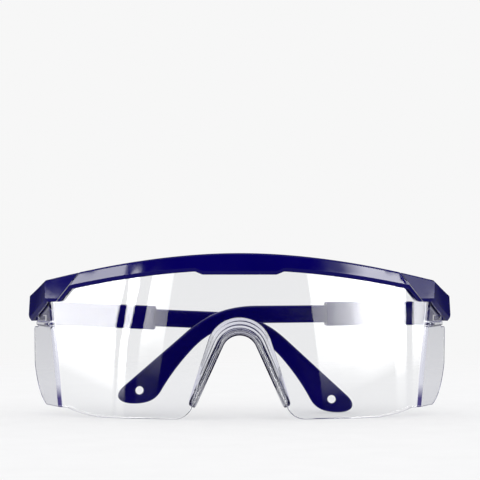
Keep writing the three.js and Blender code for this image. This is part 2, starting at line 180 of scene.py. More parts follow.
def cut(obj, tool, operation="DIFFERENCE"):
    """Subtracts or joins a closed tool, which is then removed."""
    modify(obj, "BOOLEAN", operation=operation, solver="EXACT", object=tool)
    bpy.data.objects.remove(tool, do_unlink=True)
    return obj


def soften(obj, width, angle=24, merge=0.01):
    """Small rounds on every edge sharper than the angle, in the mesh itself."""
    modify(obj, "BEVEL", width=width * MM, segments=2, limit_method="ANGLE",
           angle_limit=radians(angle), miter_outer="MITER_ARC")
    clean(obj, merge)
    shade(obj, radians(30))


def flatten(obj):
    """Turns the normals of every round towards the larger faces beside it, so flat faces shade flat."""
    modify(obj, "WEIGHTED_NORMAL", mode="FACE_AREA", weight=100, keep_sharp=True)
    return obj


def clean(obj, distance=0.01):
    """Joins points nearer than the distance and removes the faces that this leaves without area."""
    b = bmesh.new()
    b.from_mesh(obj.data)
    bmesh.ops.remove_doubles(b, verts=b.verts, dist=distance * MM)
    bmesh.ops.dissolve_degenerate(b, edges=b.edges, dist=distance * MM)
    b.to_mesh(obj.data)
    b.free()


def slice_off(obj, point, normal):
    """Cuts off what lies beyond a plane and closes the cut."""
    b = bmesh.new()
    b.from_mesh(obj.data)
    place = (Vector(point) + Vector((0, FRONT_Y, 0))) * MM
    whole = b.verts[:] + b.edges[:] + b.faces[:]
    result = bmesh.ops.bisect_plane(b, geom=whole, dist=1e-7, plane_co=place, plane_no=Vector(normal),
                                    clear_outer=True)
    rim = [e for e in result["geom_cut"] if isinstance(e, bmesh.types.BMEdge)]
    rim = [e for e in rim if e.is_boundary]
    bmesh.ops.holes_fill(b, edges=rim, sides=0)
    bmesh.ops.recalc_face_normals(b, faces=b.faces)
    b.to_mesh(obj.data)
    b.free()


def loft(name, rings):
    """Closed skin over a row of rings with the same number of points."""
    count = len(rings[0])
    faces = []
    for i in range(len(rings) - 1):
        for j in range(count):
            a, b = i * count + j, i * count + (j + 1) % count
            faces.append((a, b, b + count, a + count))
    faces.append(tuple(reversed(range(count))))
    faces.append(tuple(range((len(rings) - 1) * count, len(rings) * count)))
    return make(name, np.concatenate(rings), faces)


def inside(points, loops):
    """Which points lie inside the first loop and outside the others."""
    result = np.zeros(len(points), bool)
    for loop in loops:
        a, b = loop, np.roll(loop, -1, axis=0)
        for (ax, ay), (bx, by) in zip(a, b):
            if ay == by:
                continue
            across = (ay > points[:, 1]) != (by > points[:, 1])
            at = ax + (points[:, 1] - ay) * (bx - ax) / (by - ay)
            result ^= across & (points[:, 0] < at)
    return result


def nearest(points, loops):
    """Each point's distance from the loops' corners."""
    corners = np.concatenate(loops)
    found = np.full(len(points), 1e9)
    for start in range(0, len(points), 512):
        block = points[start:start + 512]
        gaps = np.linalg.norm(block[:, None] - corners[None], axis=2)
        found[start:start + 512] = gaps.min(axis=1)
    return found


def face_edges(face):
    """The face's edges in the order that it runs round them."""
    return list(zip(face, face[1:] + face[:1]))


def mended(faces):
    """The faces without those that hang on an edge which two others share, and with faces in open slits."""
    strays = True
    while strays:
        uses = {}
        for face in faces:
            for edge in face_edges(face):
                uses[frozenset(edge)] = uses.get(frozenset(edge), 0) + 1
        counts = [{uses[frozenset(edge)] for edge in face_edges(face)} for face in faces]
        strays = [face for face, count in zip(faces, counts) if min(count) == 1 and max(count) > 2]
        faces = [face for face, count in zip(faces, counts) if min(count) > 1 or max(count) < 3]
    walked = {edge for face in faces for edge in face_edges(face)}
    onward = {b: a for a, b in walked if (b, a) not in walked}
    while onward:
        start, at = onward.popitem()
        slit = [start]
        while at != start and at in onward:
            slit.append(at)
            at = onward.pop(at)
        if at == start and len(slit) > 2:
            faces.append(tuple(slit))
    return faces


def inward(loop):
    """Mitred unit steps from a loop into the region that lies on its left."""
    ahead = np.roll(loop, -1, axis=0) - loop
    ahead /= np.linalg.norm(ahead, axis=1)[:, None]
    behind = np.roll(ahead, 1, axis=0)
    along = ahead + behind
    along /= np.maximum(np.linalg.norm(along, axis=1), 1e-9)[:, None]
    left = np.stack([-along[:, 1], along[:, 0]], axis=1)
    reach = np.abs(ahead[:, 0] * along[:, 0] + ahead[:, 1] * along[:, 1])
    return left / np.maximum(reach, 0.7)[:, None]


PROBE = 1e-3  # how far plate() looks aside to find a normal
OUTSIDE = 0.01  # and to find the way out from an edge
CLEAR_OF_EDGE = 0.45  # inner points nearer than this to a loop are left out
FLAT_EDGE = 1e-3  # a straight edge shorter than this isn't built


def plate(name, loops, fill, place, thickness, rounds, steps=4):
    """Closed plate over a flat region, laid on a surface by place(u, v, push). Its edges are rounded.

    The first loop runs anticlockwise round the region and the others run clockwise round its holes.
    Each loop has its own round. fill gives the points inside the region.
    """
    def normal(uv, push):
        u, v = uv.T
        a = place(u + PROBE, v, push) - place(u - PROBE, v, push)
        b = place(u, v + PROBE, push) - place(u, v - PROBE, push)
        n = np.cross(a, b)
        out = place(u, v, push + PROBE) - place(u, v, push)
        n *= np.sign((n * out).sum(axis=1))[:, None]
        return n / np.linalg.norm(n, axis=1)[:, None]

    flat, points, normals = [], [], []
    rings = []
    for loop, radius in zip(loops, rounds):
        step_in = inward(loop)
        angles = [pi / 2 * k / steps for k in range(steps + 1)]
        profile = [(radius * (1 - sin(a)), radius * (cos(a) - 1), a, 1) for a in angles]
        back = [(o, -thickness - p, a, -1) for o, p, a, _ in reversed(profile)]
        if thickness - 2 * radius < FLAT_EDGE:
            back = back[1:]
        rows = []
        for offset, push, angle, face in profile + back:
            uv = loop + step_in * offset
            at = place(uv[:, 0], uv[:, 1], push)
            outer = loop - step_in * OUTSIDE
            edge = place(outer[:, 0], outer[:, 1], push) - place(loop[:, 0], loop[:, 1], push)
            edge /= np.linalg.norm(edge, axis=1)[:, None]
            up = normal(uv, push) * face
            rows.append(range(len(points), len(points) + len(uv)))
            flat.extend(uv)
            points.extend(at)
            normals.extend(up * cos(angle) + edge * sin(angle))
        rings.append(rows)
    flat = np.array(flat)
    faces = []
    for rows in rings:
        for near, far in zip(rows, rows[1:]):
            for j in range(len(near)):
                faces.append((near[j - 1], far[j - 1], far[j], near[j]))

    borders = [flat[list(rows[0])] for rows in rings]
    spots = fill[inside(fill, borders)]
    spots = spots[nearest(spots, borders) > CLEAR_OF_EDGE]
    verts = [Vector(p) for border in borders for p in border] + [Vector(p) for p in spots]
    edges, start = [], 0
    for border in borders:
        edges += [(start + j, start + (j + 1) % len(border)) for j in range(len(border))]
        start += len(border)
    placed, _, triangles, origins, _, _ = delaunay_2d_cdt(verts, edges, [], 0, 1e-6)
    placed = np.array([tuple(p) for p in placed])
    keep = inside(np.array([placed[list(t)].mean(axis=0) for t in triangles]), borders)
    skins = []
    for row, push, face in ((0, 0.0, 1), (-1, -thickness, -1)):
        ids = [i for rows in rings for i in rows[row]] + list(range(len(points), len(points) + len(spots)))
        points.extend(place(spots[:, 0], spots[:, 1], push))
        normals.extend(normal(spots, push) * face)
        skins.append((ids, face))
    for triangle, wanted in zip(triangles, keep):
        if wanted:
            faces += [tuple(ids[origins[i][0]] for i in triangle[::face]) for ids, face in skins]
    return make(name, points, mended(faces), normals, sharp=radians(60))


def refined(points, step, closed=False):
    """A line with points added so that none is further from the next than the step."""
    result = []
    pairs = list(zip(points, points[1:] + ([points[0]] if closed else [])))
    for a, b in pairs:
        a, b = np.array(a, float), np.array(b, float)
        count = max(1, ceil(np.linalg.norm(b - a) / step))
        result += [a + (b - a) * k / count for k in range(count)]
    if not closed:
        result.append(np.array(points[-1], float))
    return result


# ---- the lens's surface

CORNER_ANGLE = asin(CORNER_X / LENS_RADIUS)
CORNER_DEPTH = LENS_RADIUS * (1 - cos(CORNER_ANGLE))
WING_ANGLE = atan2(1, WING_SLOPE)
HALF_TURN = (WING_ANGLE - CORNER_ANGLE) / 2
TANGENT_X = CORNER_X - CORNER_FILLET * tan(HALF_TURN) * cos(CORNER_ANGLE)
FRONT_TURN = asin(TANGENT_X / LENS_RADIUS)
FRONT_RUN = LENS_RADIUS * FRONT_TURN
FILLET_RUN = FRONT_RUN + CORNER_FILLET * (WING_ANGLE - FRONT_TURN)
CENTRE_X = TANGENT_X - CORNER_FILLET * sin(FRONT_TURN)
CENTRE_Y = LENS_RADIUS * (1 - cos(FRONT_TURN)) + CORNER_FILLET * cos(FRONT_TURN)
WING_Y = CENTRE_Y - CORNER_FILLET * cos(WING_ANGLE)


def wing_lean(y):
    return mix(1.0, WING_LEAN, (y - CORNER_DEPTH) / (WING_END - CORNER_DEPTH))


def plan(run):
    """Place, outward direction and lean along the lens's plan line, by the distance run from its middle."""
    run = np.asarray(run, float)
    side = np.where(run < 0, -1.0, 1.0)
    far = np.abs(run)
    turn = np.where(far < FRONT_RUN, far / LENS_RADIUS,
                    np.minimum(WING_ANGLE, FRONT_TURN + (far - FRONT_RUN) / CORNER_FILLET))
    beyond = np.maximum(0.0, far - FILLET_RUN)
    x = np.where(far < FRONT_RUN, LENS_RADIUS * np.sin(turn),
                 CENTRE_X + CORNER_FILLET * np.sin(turn) + beyond * cos(WING_ANGLE))
    y = np.where(far < FRONT_RUN, LENS_RADIUS * (1 - np.cos(turn)),
                 CENTRE_Y - CORNER_FILLET * np.cos(turn) + beyond * sin(WING_ANGLE))
    tangent_lean = TANGENT_X / CORNER_X
    share = np.clip((far - FRONT_RUN) / (FILLET_RUN - FRONT_RUN), 0, 1)
    bend_lean = tangent_lean + (wing_lean(WING_Y) - tangent_lean) * share
    lean = np.where(far < FRONT_RUN, x / CORNER_X, np.where(far < FILLET_RUN, bend_lean, wing_lean(y)))
    return side * x, y, side * np.sin(turn), -np.cos(turn), side * lean


def on_lens(run, z, push):
    z = np.asarray(z, float)
    x, y, out_x, out_y, lean = plan(run)
    return np.stack([x + out_x * push - lean * CORNER_LEAN * (CORNER_LEVEL - z),
                     y + out_y * push, z + 0 * x], axis=-1)


def run_of(x, z):
    """Distance run along the lens to a place on its front, seen from the front."""
    straight = x / (1 - CORNER_LEAN * (CORNER_LEVEL - z) / CORNER_X)
    return LENS_RADIUS * np.arcsin(straight / LENS_RADIUS)


def wing_run(y):
    return FILLET_RUN + (y - WING_Y) / sin(WING_ANGLE)


def lens_depth(x, z):
    turn = run_of(np.abs(x), z) / LENS_RADIUS
    return LENS_RADIUS * (1 - np.cos(turn))


def arch(x):
    return BROW_TOP - 0.0026 * x * x + 8.3e-6 * np.abs(x) ** 3


def along_wing(y):
    return (y - CORNER_DEPTH) / (BLOCK_END - CORNER_DEPTH)


def mix(a, b, t):
    return a + (b - a) * t


def brow_top(x, y):
    """Height of the brow's top at a place on the plan line of the lens."""
    return mix(arch(CORNER_X), BLOCK_REAR_TOP, along_wing(y)) if y > CORNER_DEPTH else arch(x)


def brow_bottom(x, y):
    x = abs(x)
    if y > CORNER_DEPTH:
        heel = max(0.0, y - (BLOCK_END - BLOCK_HEEL))
        slide = along_wing(min(y, BLOCK_END - BLOCK_HEEL))
        return mix(BLOCK_FRONT_LOW - 0.3, BLOCK_REAR_LOW, slide) + 0.8 * heel
    if x > BLOCK_START:
        return BLOCK_FRONT_LOW
    if x > BAR_END:
        return mix(bar_bottom(BAR_END), BLOCK_FRONT_LOW, (x - BAR_END) / (BLOCK_START - BAR_END))
    return bar_bottom(x)


def bar_bottom(x):
    if x <= TAB_HALF:
        return TAB_BOTTOM
    span = (x - TAB_SHOULDER) / (BAR_END - TAB_SHOULDER)
    level = arch(x) - mix(5.9, 5.15, span)
    if x < TAB_SHOULDER:
        share = (x - TAB_HALF) / (TAB_SHOULDER - TAB_HALF)
        return mix(TAB_BOTTOM, arch(TAB_SHOULDER) - 5.9, share * share * (3 - 2 * share))
    return level


# ---- lens

def nose_side(push):
    radius = NOSE_ARCH + push
    centre = NOSE_TOP - NOSE_ARCH
    tangent = (radius * cos(NOSE_ANGLE), centre + radius * sin(NOSE_ANGLE))

    def at(z):
        return (tangent[0] + tan(NOSE_ANGLE) * (tangent[1] - z), z)

    return radius, centre, tangent, at


def lens_bottom(run):
    x = min(abs(float(plan(run)[0])), RISE_HALF) if abs(run) < FRONT_RUN else RISE_HALF
    rise = min(1.0, max(0.0, (x - FLAT_HALF) / (RISE_HALF - FLAT_HALF)))
    return CORNER_RISE * rise ** 3


def lens_outline():
    """The lens's edge laid flat, as pairs of run and height, anticlockwise seen from the front."""
    radius, centre, tangent, at = nose_side(1.2)
    half = []
    for k in range(15):
        angle = pi / 2 - (pi / 2 - NOSE_ANGLE) * k / 14
        half.append((radius * cos(angle), centre + radius * sin(angle)))
    half += [at(z) for z in (20, 16, 12, 8, 5.4, 4.4)]
    foot, corner = at(4.4), at(0)
    wide = (corner[0] + 4.6, 0.0)
    half += curve(foot, corner, wide, count=10)
    half = [(float(run_of(x, z)), z) for x, z in half]
    runs = [float(run_of(x, 0.0)) for x in (30, 36, 40, 44, 48, 51, 54, 57, 60, 62)]
    half += [(run, lens_bottom(run)) for run in runs]
    half += [(FRONT_RUN, CORNER_RISE), (FILLET_RUN, CORNER_RISE)]
    swept = [(WING_END - SWEEP_RUN, CORNER_RISE)]
    bend = (WING_END - SWEEP_BEND[0], SWEEP_BEND[1])
    swept += curve(swept[0], bend, (WING_END, SWEEP_TOP), count=12)
    half += [(wing_run(y), z) for y, z in swept]
    half += [(wing_run(WING_END), NOTCH_LEVEL - 0.8), (wing_run(WING_END - 0.8), NOTCH_LEVEL)]
    half += [(wing_run(NOTCH_DEPTH), NOTCH_LEVEL)]
    tops = [NOTCH_DEPTH, 36, 32, 28, 24, 20.5]
    half += [(wing_run(y), brow_top(CORNER_X, y) - BROW_ROOF - GAP) for y in tops]
    top_runs = list(np.linspace(FILLET_RUN, FRONT_RUN, 3)) + list(np.linspace(FRONT_RUN - 1, 0, 30))
    for run in top_runs:
        x, y = (float(v) for v in plan(run)[:2])
        half.append((run, brow_top(min(x, CORNER_X), min(y, CORNER_DEPTH)) - BROW_ROOF - GAP))
    half = [tuple(p) for p in refined(half, 1.1)]
    extra = []
    for a, b in zip(half, half[1:]):
        extra.append(a)
        low, high = min(a[0], b[0]), max(a[0], b[0])
        if high > FRONT_RUN - 0.3 and low < FILLET_RUN + 0.3 and high - low > 0.35:
            count = ceil((high - low) / 0.3)
            extra += [tuple(mix(np.array(a), np.array(b), k / count)) for k in range(1, count)]
    extra.append(half[-1])
    mirrored = [(-s, z) for s, z in reversed(extra[1:-1])]
    return np.array(extra + mirrored)


LEVEL_STEP = 2.6  # height between the rows of points inside the lens


def lens_fill():
    """Points inside the lens laid flat: rows across it, closer at the corner's bend and round the rib."""
    front = np.arange(0.0, FRONT_RUN - 0.4, 1.9)
    bend = np.arange(FRONT_RUN, FILLET_RUN + 0.2, 0.26)
    wing = np.arange(FILLET_RUN + 1, wing_run(WING_END), 1.9)
    levels = np.arange(1.0, 57.0, LEVEL_STEP)
    runs = np.concatenate([front, bend, wing])
    points = [(s, z) for s in runs for z in levels]
    for s in np.arange(FILLET_RUN + 0.6, wing_run(40), 0.8):
        points += [(s, z) for z in np.arange(31.3, 34.9, 0.28)]
    points = np.array(points)
    by_rib = (points[:, 0] > FILLET_RUN + 0.5) & (np.abs(points[:, 1] - 33.1) < 1.9)
    coarse = np.abs((points[:, 1] - levels[0]) % LEVEL_STEP) < 1e-6
    points = points[~(by_rib & coarse)]
    return np.concatenate([points, points[points[:, 0] > 0] * (-1, 1)])


RIB_LEVELS = (31.9, 34.1)
RIB_DEPTHS = (20.6, 38.8)
RIB_PROUD = 0.9


def rib_height(run, z):
    """How far the moulded rib on each wing stands out, with its soft ends and sides."""
    def step(value, low, high):
        t = np.clip((value - low) / (high - low), 0, 1)
        return t * t * (3 - 2 * t)

    far = np.abs(run)
    low, high = RIB_LEVELS
    near, deep = RIB_DEPTHS
    across = step(z, low, low + 0.6) * step(-z, -high, 0.6 - high)
    along = step(far, wing_run(near), wing_run(near + 0.8))
    along *= step(-far, -wing_run(deep), -wing_run(deep - 0.8))
    return RIB_PROUD * across * along


def circle(centre, radius, count, clockwise=False):
    turn = np.linspace(0, 2 * pi, count, endpoint=False)
    if clockwise:
        turn = -turn
    return np.stack([centre[0] + radius * np.cos(turn), centre[1] + radius * np.sin(turn)], axis=1)


def build_lens():
    def place(run, z, push):
        proud = rib_height(run, z) if np.all(np.asarray(push) > -LENS_THICKNESS / 2) else 0.0
        return on_lens(run, z, push + proud)

    holes = [circle((side * wing_run(SCREW_Y), SCREW_Z), SCREW_HOLE, 20, clockwise=True)
             for side in (1, -1)]
    return plate("lens_shell", [lens_outline(), *holes], lens_fill(), place, LENS_THICKNESS,
                 [0.38, 0.15, 0.15])


# ---- brow bar and end blocks
#
# A station is a place on the plan line: x, y, the direction out of the lens in x and y, and the lean.

def front_station(x):
    turn = asin(abs(x) / LENS_RADIUS)
    side = 1 if x >= 0 else -1
    return (x, LENS_RADIUS * (1 - cos(turn)), side * sin(turn), -cos(turn), x / CORNER_X)


def mitre_station():
    middle = (CORNER_ANGLE + WING_ANGLE) / 2
    reach = 1 / cos(HALF_TURN)
    return (CORNER_X, CORNER_DEPTH, sin(middle) * reach, -cos(middle) * reach, 1.0)


def wing_station(y):
    return (CORNER_X + WING_SLOPE * (y - CORNER_DEPTH), y, sin(WING_ANGLE), -cos(WING_ANGLE),
            float(wing_lean(y)))


def wall_point(station, push, z):
    x, y, out_x, out_y, lean = station
    return (x + out_x * push - lean * CORNER_LEAN * (CORNER_LEVEL - z), y + out_y * push, z)


def wall_ring(station, outline):
    return np.array([wall_point(station, push, z) for push, z in outline])


def rim_section(station, tilt, pivot):
    """Outline of the grooved rim. Its outer facet leans out by tilt, mm per mm above the pivot."""
    top, bottom = brow_top(station[0], station[1]), brow_bottom(station[0], station[1])
    back = -LENS_THICKNESS - GAP - BROW_WALL
    seat = -LENS_THICKNESS - GAP
    low, high = (BROW_PROUD + tilt * (z - pivot) for z in (bottom + 1.25, top - 0.5))
    return [
        (low - 0.85, bottom),
        (low, bottom + 1.25),
        (high, top - 0.5),
        (high - 0.6, top),
        (back + 0.7, top),
        (back, top - 0.7),
        (back, bottom + 0.6),
        (back + 0.45, bottom),
        (seat, bottom),
        (seat, top - BROW_ROOF),
        (GAP, top - BROW_ROOF),
        (GAP, bottom),
    ]


def rim(name, stations, tilt, pivot):
    """The rim lofted through its sections at the stations."""
    return loft(name, [wall_ring(station, rim_section(station, tilt, pivot)) for station in stations])


def build_bar():
    half = [0, 2, 4, 6, 8, 10, 11.6, TAB_HALF, 13.2, 14.2, 15.2, TAB_SHOULDER]
    half += list(np.arange(17.5, BAR_END - 1, 2.0)) + [BAR_END, 62.4, BLOCK_START, 67]
    stations = [front_station(x) for x in [-x for x in reversed(half[1:])] + half]
    bar = rim("brow_bar", stations, -0.02, 52)
    for side in (1, -1):
        slice_off(bar, (side * SEAM_X, 0, SEAM_Z), (side, 0, SEAM_SLOPE))
    soften(bar, 0.28)
    return bar


def turned(name, profile, count=40):
    """A turned part on the z axis, from (radius, z) pairs."""
    rings = [np.column_stack([circle((0, 0), radius, count), np.full(count, z)]) for radius, z in profile]
    return loft(name, rings)


def cylinder(name, radius, low, high, count=48):
    return turned(name, [(radius, low), (radius, high)], count)


def box_tool(name, x, y, z):
    ring = np.array([(x[0], y[0]), (x[1], y[0]), (x[1], y[1]), (x[0], y[1])])
    return loft(name, [np.column_stack([ring, np.full(4, level)]) for level in z])


def moved(obj, matrix):
    """Applies a matrix of the glasses' own frame, in millimetres, to an object's mesh."""
    shift = Matrix.Translation((0, FRONT_Y * MM, 0))
    scaled = matrix.copy()
    scaled.translation = matrix.translation * MM
    obj.data.transform(shift @ scaled @ shift.inverted())
    if matrix.determinant() < 0:
        obj.data.flip_normals()
    return obj


def mirrored_if(obj, sign):
    """Mirrors a piece, built at the wearer's left, to the right side where the sign is negative."""
    if sign < 0:
        obj.data.transform(Matrix.Diagonal((-1, 1, 1, 1)))
        obj.data.flip_normals()
    return obj


ARM_SET_BACK = 0.5  # how far the arm's own zero lies inside the slide's zero

SIDES = {}
for side_name, side_sign in (("left", 1), ("right", -1)):
    fold = joints[side_name + "_temple_fold"]
    slide = joints[side_name + "_arm_slide"]
    SIDES[side_name] = {
        "sign": side_sign,
        "fold": radians(fold["range_deg"][1]),
        "droop": atan2(abs(fold["axis"][0]), abs(fold["axis"][2])),
        "out": -slide["range_m"][0] / MM - ARM_SET_BACK,
    }


def hinge_matrix(side):
    """From the temple's own frame, open, to the glasses' frame at the wearer's left side."""
    return Matrix.Translation(PIN) @ Matrix.Rotation(-side["droop"], 4, "Y")


def temple_matrix(side):
    return hinge_matrix(side) @ Matrix.Rotation(side["fold"], 4, "Z")


def on_wing(push, across, up):
    """A point at the block screw, by its distance out from the lens's surface."""
    station = wing_station(SCREW_Y)
    base = wall_point(station, push, SCREW_Z)
    return (base[0] - across * station[3], base[1] + across * station[2], base[2] + up)


def turned_on_wing(name, profile):
    """A turned part on the block screw's axis, from (radius, push) pairs."""
    rings = [np.array([on_wing(push, across, up) for across, up in circle((0, 0), radius, 40)])
             for radius, push in profile]
    return loft(name, rings)


def build_block(side_name):
    side = SIDES[side_name]
    fronts = [front_station(x) for x in (50, 53, 56, 58.5, BAR_END, 62.4, BLOCK_START, 67)]
    wings = [wing_station(y) for y in (22, 26, 31, 36, 40, BLOCK_END - BLOCK_HEEL, BLOCK_END + 1.5)]
    block = rim(side_name + "_block", fronts + [mitre_station()] + wings, -0.065, 42)
    edge = [(SEAM_X + GAP + SEAM_SLOPE * (SEAM_Z - z), z) for z in (75, BLOCK_FRONT_LOW)]
    region = [(-10, 75), *edge, (edge[1][0], 10), (-10, 10)]
    cut(block, loft("bar_side", [np.array([(x, y, z) for x, z in region]) for y in (-10, 60)]))
    closing = [wing_station(y) for y in (NOTCH_DEPTH + 0.4, 42, BLOCK_END - BLOCK_HEEL, BLOCK_END + 1.5)]
    rings = []
    for station in closing:
        top, bottom = brow_top(station[0], station[1]) - 1, brow_bottom(station[0], station[1]) + 0.02
        inner, outer = -LENS_THICKNESS - GAP - 0.4, GAP + 0.4
        rings.append(wall_ring(station, [(outer, bottom), (outer, top), (inner, top), (inner, bottom)]))
    cut(block, loft("closing", rings), "UNION")
    slice_off(block, (0, BLOCK_END, 0), (0, 1, 0))
    hinge = hinge_matrix(side)
    cut(block, moved(cylinder("lug", LUG_RADIUS, -2.8, 6.4), hinge), "UNION")
    slot = cylinder("slot", BLOCK_END - PIN[1] + 0.8, KNUCKLE_LOW - GAP, KNUCKLE_HIGH + GAP, 64)
    cut(block, moved(slot, hinge))
    cut(block, moved(cylinder("hole", PIN_HOLE, -8, 9), hinge))
    cut(block, moved(cylinder("counterbore", 1.9, 5.4, 10), hinge))
    cut(block, turned_on_wing("screw_hole", [(SCREW_HOLE, -8), (SCREW_HOLE, 1.2)]))
    clean(block)
    soften(block, 0.25, angle=26)
    return mirrored_if(block, side["sign"])


# ---- temples

def rounded_rectangle(x, half, radius):
    corners = [(x[1] - radius, half - radius, 0), (x[0] + radius, half - radius, 90),
               (x[0] + radius, -half + radius, 180), (x[1] - radius, -half + radius, 270)]
    points = []
    for cx, cz, start in corners:
        for k in range(7):
            angle = radians(start + 15 * k)
            points.append((cx + radius * cos(angle), cz + radius * sin(angle)))
    return np.array(points)


def shrunk(section, amount):
    middle = (section.min(axis=0) + section.max(axis=0)) / 2
    half = (section.max(axis=0) - section.min(axis=0)) / 2
    return middle + (section - middle) * (half - amount) / half


def build_sleeve(side_name):
    side = SIDES[side_name]
    outer = rounded_rectangle((-0.5, 4.5), 4.4, 0.7)
    inner = rounded_rectangle((0.2, 3.8), 3.65, 0.5)
    start, end, deep = 3.0, 42.0, 9.5

    def ring(section, y):
        return np.column_stack([section[:, 0], np.full(len(section), y), section[:, 1]])

    rings = [ring(shrunk(outer, 0.4), start), ring(shrunk(outer, 0.15), start + 0.12),
             ring(outer, start + 0.5)]
    rings += [ring(outer, y) for y in np.linspace(start + 1, end - 1, 14)]
    rings += [ring(outer, end - 0.35), ring(shrunk(outer, 0.1), end - 0.1),
              ring(shrunk(outer, 0.32), end)]
    rings += [ring(shrunk(inner, -0.14), end), ring(shrunk(inner, -0.04), end - 0.06),
              ring(inner, end - 0.2), ring(inner, deep)]
    sleeve = loft(side_name + "_sleeve", rings)
    neck = box_tool("neck", (-0.4, 1.5), (0, start + 1), (KNUCKLE_LOW, KNUCKLE_HIGH))
    cut(neck, cylinder("knuckle", KNUCKLE_RADIUS, KNUCKLE_LOW, KNUCKLE_HIGH), "UNION")
    cut(sleeve, neck, "UNION")
    cut(sleeve, cylinder("hole", PIN_HOLE, -2, 6))
    clean(sleeve)
    soften(sleeve, 0.16, angle=40)
    moved(sleeve, temple_matrix(side))
    return mirrored_if(sleeve, side["sign"])


def curve(*corners, count):
    """Points along the Bezier curve of the corners, without its first."""
    t = np.linspace(0, 1, count + 1)[1:, None]
    lines = [np.array(p, float) for p in corners]
    while len(lines) > 1:
        lines = [(1 - t) * a + t * b for a, b in zip(lines, lines[1:])]
    return [tuple(p) for p in lines[0]]


def build_arm(side_name):
    side = SIDES[side_name]
    start, half, inner, outer = 14.0, 3.2, 0.65, 3.35
    line = [(start, -half), (66, -half)]
    line += curve((66, -half), (77, -half), (84, -6.6), (89.5, -12.3), count=16)
    line += curve((89.5, -12.3), (96.5, -19.6), (101.2, -27.6), count=12)
    line += curve((101.2, -27.6), (103.2, -31), (106.5, -32), (110.6, -32), count=12)
    line += curve((110.6, -32), (116.8, -32), (118.4, -29.2), (115, -25.9), count=14)
    line += [(91.5, -6)]
    line += curve((91.5, -6), (85, -0.5), (77.5, half), (66, half), count=16)
    line += [(start, half)]
    outline = np.array(refined(line, 0.9, closed=True))
    hole = circle((109, -27.2), 1.5, 28, clockwise=True)
    fill = np.array([(u, v) for u in np.arange(15, 119, 1.5) for v in np.arange(-31.5, 3.2, 1.5)])
    matrix = np.array(temple_matrix(side) @ Matrix.Translation((0, side["out"], 0)))

    def place(u, v, push):
        u, v = np.asarray(u, float), np.asarray(v, float)
        local = np.stack([outer + push + 0 * u, u, v], axis=-1)
        return local @ matrix[:3, :3].T + matrix[:3, 3]

    arm = plate(side_name + "_arm", [outline, hole], fill, place, outer - inner, [0.95, 0.75], steps=5)
    return mirrored_if(arm, side["sign"])


# ---- nose pad

def build_pad():
    radius, centre, tangent, at = nose_side(0)
    side_out = (cos(NOSE_ANGLE), sin(NOSE_ANGLE))
    half = [(at(z), side_out, z) for z in np.arange(PAD_TIP, tangent[1] - 0.3, 0.6)]
    for k in range(1, 31):
        angle = NOSE_ANGLE + (pi / 2 - NOSE_ANGLE) * k / 30
        out = (cos(angle), sin(angle))
        half.append(((out[0] * radius, out[1] * radius + centre), out, 99))
    path = half + [((-p[0], p[1]), (-o[0], o[1]), z) for p, o, z in reversed(half[:-1])]

    def section(place):
        """The pad's outline: distances out from the edge of the nose cut-out and back from the lens."""
        spread = mix(2.9, 6.2, (place[1] - PAD_END) / (NOSE_TOP - PAD_END))
        tip = spread - 1.4
        back = LENS_THICKNESS + GAP
        ribs = ((0.1, 0), (0.34, 0), (0.37, 0.45), (0.42, 0), (0.66, 0), (0.69, 0.45), (0.74, 0))
        flange = [(mix(0.1, tip, t) + lift, mix(3.6, PAD_DEPTH + 0.4, t)) for t, lift in ribs]
        return [
            (0.0, -0.55), (0.12, -0.85), (0.35, -1.0), (0.55, -1.0), (0.7, -0.7), (0.85, -0.7),
            (1.0, -1.0), (1.15, -1.0), (1.3, -0.75), (1.4, -0.75), (1.52, -1.0), (1.66, -1.0),
            (1.86, -0.88), (2.0, -0.6), (2.0, -GAP), (0.9, -GAP), (0.9, back), (2.4, back),
            (2.75, back + 0.4), (mix(2.75, spread, 0.5), mix(back + 0.4, PAD_DEPTH, 0.5)),
            (spread, PAD_DEPTH - 0.3), (spread - 0.15, PAD_DEPTH + 0.1), (spread - 0.6, PAD_DEPTH + 0.45),
            (tip + 0.25, PAD_DEPTH + 0.55), (tip, PAD_DEPTH + 0.4),
            *reversed(flange),
            (0.02, 3.4), (0.0, 2.9), (0.4, 2.65), (0.4, 2.5), (0.0, 2.25),
            (0.0, 1.2), (0.4, 0.95), (0.4, 0.8), (0.0, 0.55),
        ]

    rings = []
    for place, out, level in path:
        close = min(1.0, max(0.0, (level - PAD_TIP) / 1.8))
        points = np.array(section(place))
        middle = points.mean(axis=0)
        points = middle + (points - middle) * mix(0.72, 1.0, sqrt(close * (2 - close)))
        x = place[0] + out[0] * points[:, 0]
        z = place[1] + out[1] * points[:, 0]
        rings.append(np.column_stack([x, lens_depth(x, z) + points[:, 1], z]))
    pad = loft("bridge_pad", rings)
    soften(pad, 0.1, angle=34, merge=0.004)
    return pad


# ---- screws

def thread(radius, depth, levels):
    """Profile points of a screw's thread."""
    ridge = [(radius, 0), (radius - depth, 0.12), (radius - depth, 0.16)]
    return [(r, level + up) for level in levels for r, up in ridge]


def build_pin(side_name):
    side = SIDES[side_name]
    profile = [(0.2, -2.7), (0.6, -2.7), (0.85, -2.4)]
    profile += thread(0.85, 0.13, [-2.3 + 0.28 * k for k in range(14)])
    profile += [(0.85, 1.7), (0.85, 5.6), (1.0, 5.7), (1.42, 5.7), (1.5, 5.8), (1.5, 6.22),
                (1.4, 6.42), (1.1, 6.58), (0.6, 6.62), (0.2, 6.62)]
    pin = turned(side_name + "_pin", profile)
    cut(pin, box_tool("slot", (-0.25, 0.25), (-2, 2), (6.2, 7)))
    cut(pin, box_tool("cross", (-2, 2), (-0.25, 0.25), (6.2, 7)))
    moved(pin, hinge_matrix(side))
    shade(pin)
    return mirrored_if(pin, side["sign"])


